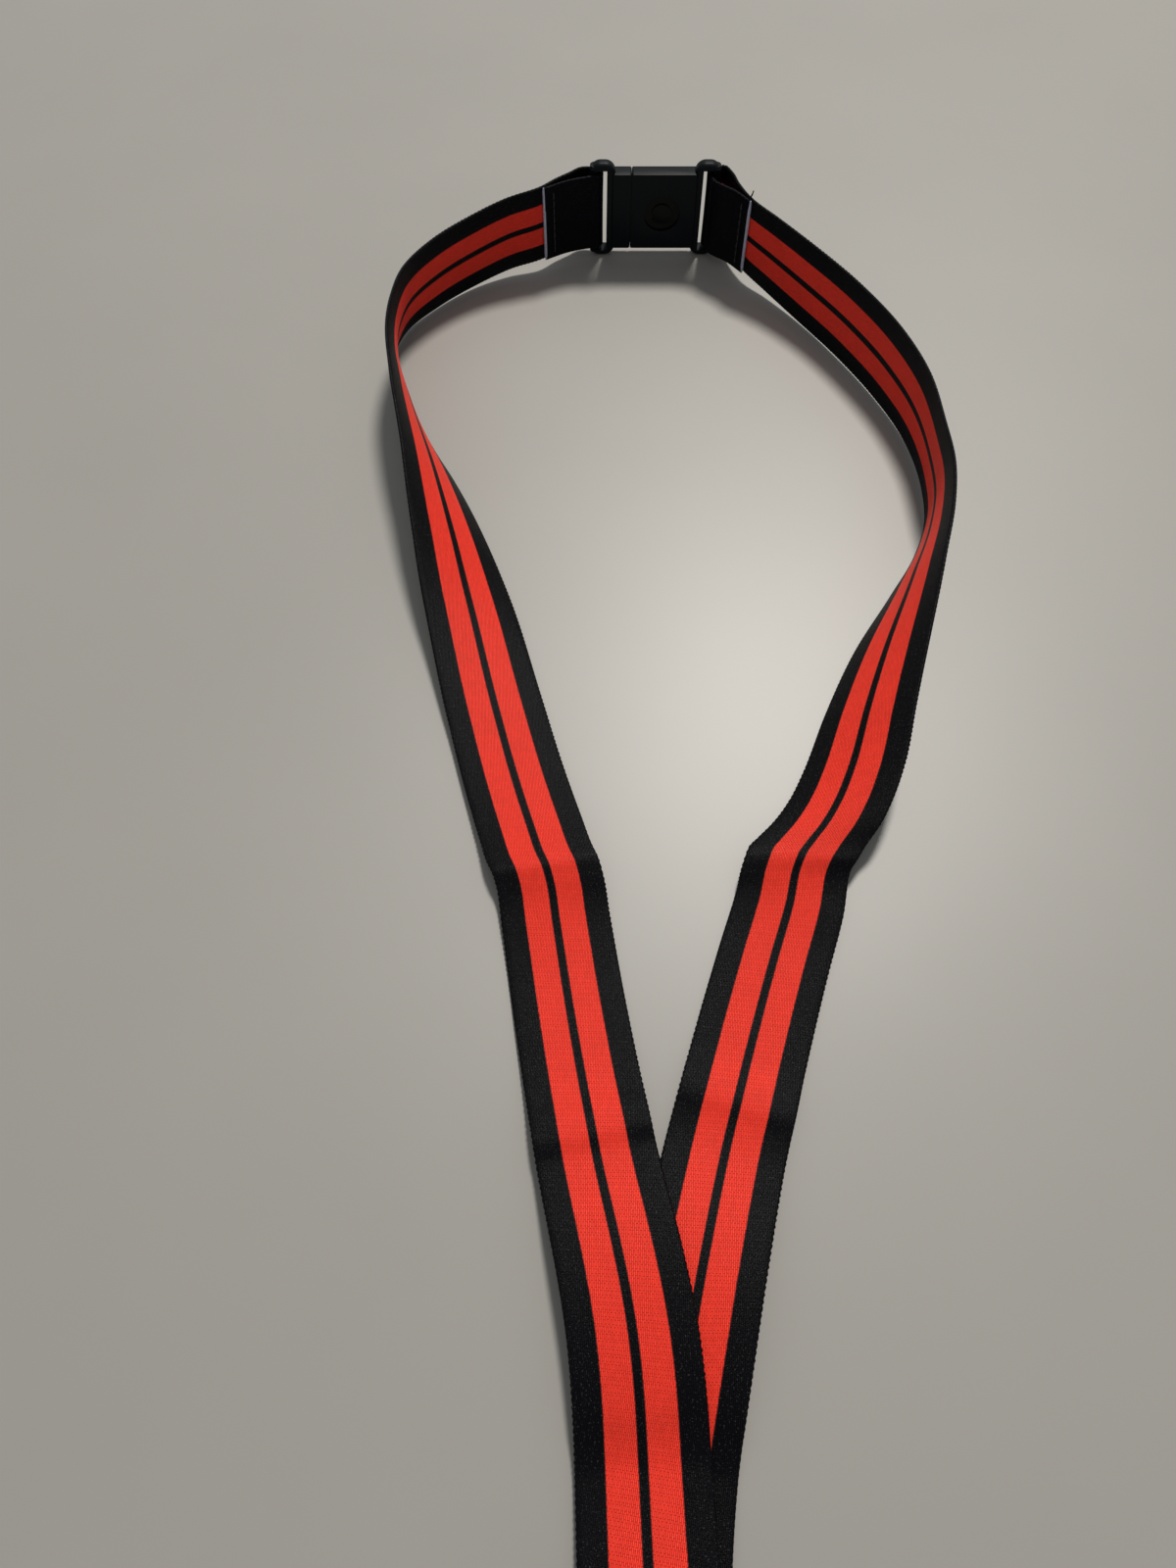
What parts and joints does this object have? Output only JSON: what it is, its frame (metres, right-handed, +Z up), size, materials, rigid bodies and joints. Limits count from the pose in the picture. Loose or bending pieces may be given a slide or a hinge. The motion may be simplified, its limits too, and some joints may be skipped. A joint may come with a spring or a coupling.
{
  "type": "lanyard badge holder",
  "caption": "Flat woven neck lanyard with striped face, breakaway plug-and-socket buckle, stitched tails and a swivel snap hook for a badge, laid on a table.",
  "frame": {"origin": "on the table, under the middle of the whole object's box", "axes": "+X along the buckle from plug to socket, +Y from the hook towards the neck buckle, +Z up from the table"},
  "size_m": [0.1241, 0.4692, 0.0252],
  "materials": {
    "strap_webbing": "satin",
    "buckle_plastic": "matte",
    "sewing_thread": "matte",
    "hook_metal": "polished",
    "pin_steel": "satin",
    "spring_steel": "satin"
  },
  "bodies": {
    "root": {"socket_half": "buckle_plastic", "right_strap_fold": "strap_webbing", "left_neck_strap": "strap_webbing", "right_neck_strap": "strap_webbing", "left_tail_strap": "strap_webbing", "right_tail_strap": "strap_webbing", "left_strap_end": "strap_webbing", "right_strap_end": "strap_webbing", "right_fold_stitch": "sewing_thread", "loose_thread_end": "sewing_thread", "tail_stitch": "sewing_thread"},
    "plug": {"plug_half": "buckle_plastic", "left_strap_fold": "strap_webbing", "left_fold_stitch": "sewing_thread"},
    "eye": {"swivel_eye": "hook_metal"},
    "hook": {"hook_body": "hook_metal", "gate_pin": "pin_steel", "gate_spring": "spring_steel"},
    "gate": {"gate": "hook_metal"}
  },
  "joints": [
    {"name": "breakaway_pull", "type": "slide", "parent": "root", "child": "plug", "axis": [-1, 0, 0], "range_m": [0, 0.014], "deforming": ["left_neck_strap"]},
    {"name": "eye_tilt", "type": "hinge", "parent": "root", "child": "eye", "pos_m": [-0.007, -0.19296, 0.00336], "axis": [1, 0, 0], "range_deg": [-60, 60]},
    {"name": "hook_swivel", "type": "hinge", "parent": "eye", "child": "hook", "pos_m": [-0.007, -0.20516, 0.00336], "axis": [0, 1, 0], "continuous": true},
    {"name": "gate_press", "type": "hinge", "parent": "hook", "child": "gate", "pos_m": [-0.0003, -0.21206, 0.00336], "axis": [0, 0, 1], "range_deg": [-28, 0], "stiffness_Nm_per_rad": 0.002, "springref_deg": 20.05, "deforming": ["gate_spring"]}
  ]
}
